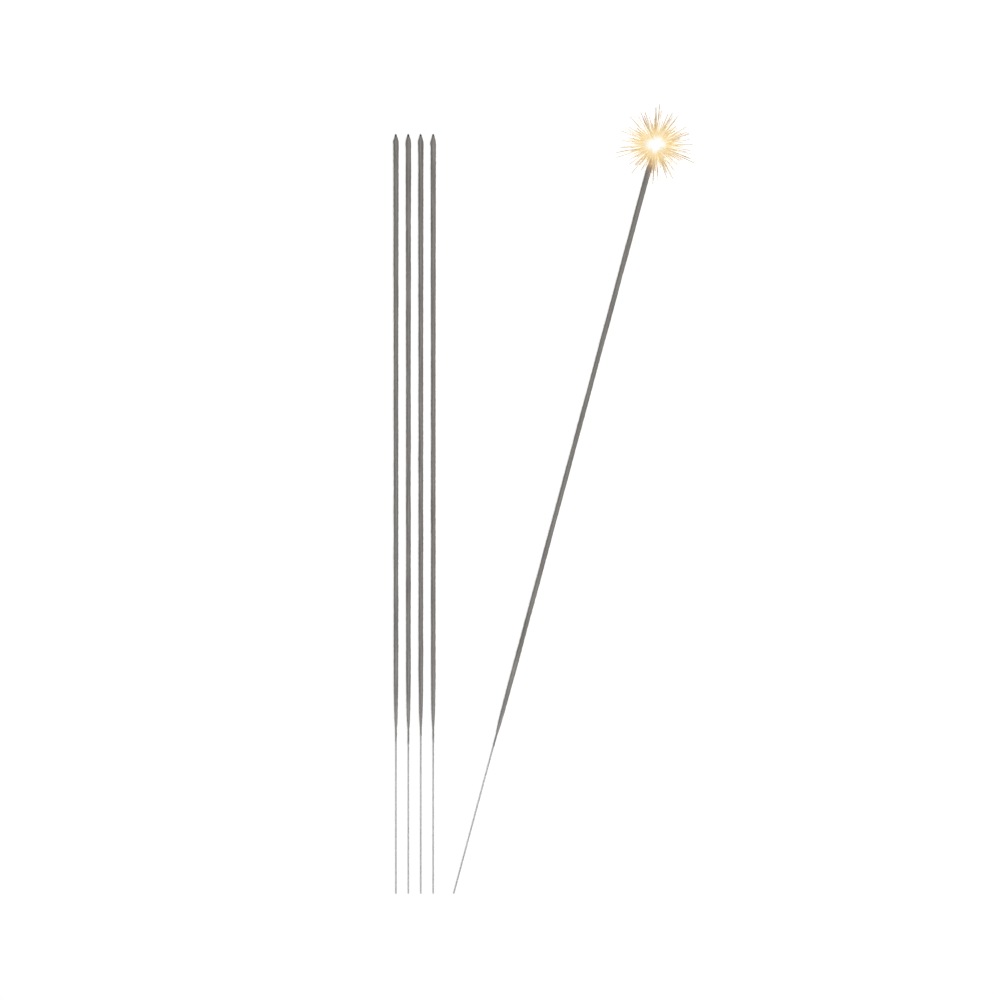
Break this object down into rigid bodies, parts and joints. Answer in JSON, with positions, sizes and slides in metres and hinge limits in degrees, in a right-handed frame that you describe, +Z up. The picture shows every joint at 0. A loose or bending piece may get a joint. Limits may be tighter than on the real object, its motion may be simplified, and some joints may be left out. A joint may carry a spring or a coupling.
{
  "type": "sparkler set",
  "caption": "Long hand sparklers lying flat: steel wires dipped in grey spark composition, with dark primed points; a row is unlit and one burns, throwing golden sparks",
  "frame": {"origin": "middle of the whole set's box, on the surface that it lies on", "axes": "+Y from the handles to the points, along the unlit row; +X from the row towards the lit sparkler; +Z up"},
  "size_m": [0.2773, 0.7274, 0.0189],
  "materials": {
    "wire_steel": "satin",
    "first_coat": "matte",
    "spark_coat": "matte",
    "priming": "matte",
    "flame_glow": "matte",
    "spark_glow": "matte"
  },
  "bodies": {
    "sparkler_1": {"sparkler_1_core_wire": "wire_steel", "sparkler_1_first_dip": "first_coat", "sparkler_1_second_dip": "spark_coat", "sparkler_1_priming_tip": "priming"},
    "sparkler_2": {"sparkler_2_core_wire": "wire_steel", "sparkler_2_first_dip": "first_coat", "sparkler_2_second_dip": "spark_coat", "sparkler_2_priming_tip": "priming"},
    "sparkler_3": {"sparkler_3_core_wire": "wire_steel", "sparkler_3_first_dip": "first_coat", "sparkler_3_second_dip": "spark_coat", "sparkler_3_priming_tip": "priming"},
    "sparkler_4": {"sparkler_4_core_wire": "wire_steel", "sparkler_4_first_dip": "first_coat", "sparkler_4_second_dip": "spark_coat", "sparkler_4_priming_tip": "priming"},
    "lit_sparkler": {"lit_sparkler_core_wire": "wire_steel", "lit_sparkler_first_dip": "first_coat", "lit_sparkler_second_dip": "spark_coat", "lit_sparkler_flame": "flame_glow", "lit_sparkler_spark_streaks": "spark_glow"}
  },
  "joints": [
    {"name": "sparkler_2_lift", "type": "slide", "parent": "sparkler_1", "child": "sparkler_2", "axis": [0, 0, 1], "range_m": [0, 0.06]},
    {"name": "sparkler_3_lift", "type": "slide", "parent": "sparkler_1", "child": "sparkler_3", "axis": [0, 0, 1], "range_m": [0, 0.06]},
    {"name": "sparkler_4_lift", "type": "slide", "parent": "sparkler_1", "child": "sparkler_4", "axis": [0, 0, 1], "range_m": [0, 0.06]},
    {"name": "lit_sparkler_lift", "type": "slide", "parent": "sparkler_1", "child": "lit_sparkler", "axis": [0, 0, 1], "range_m": [0, 0.06]}
  ]
}
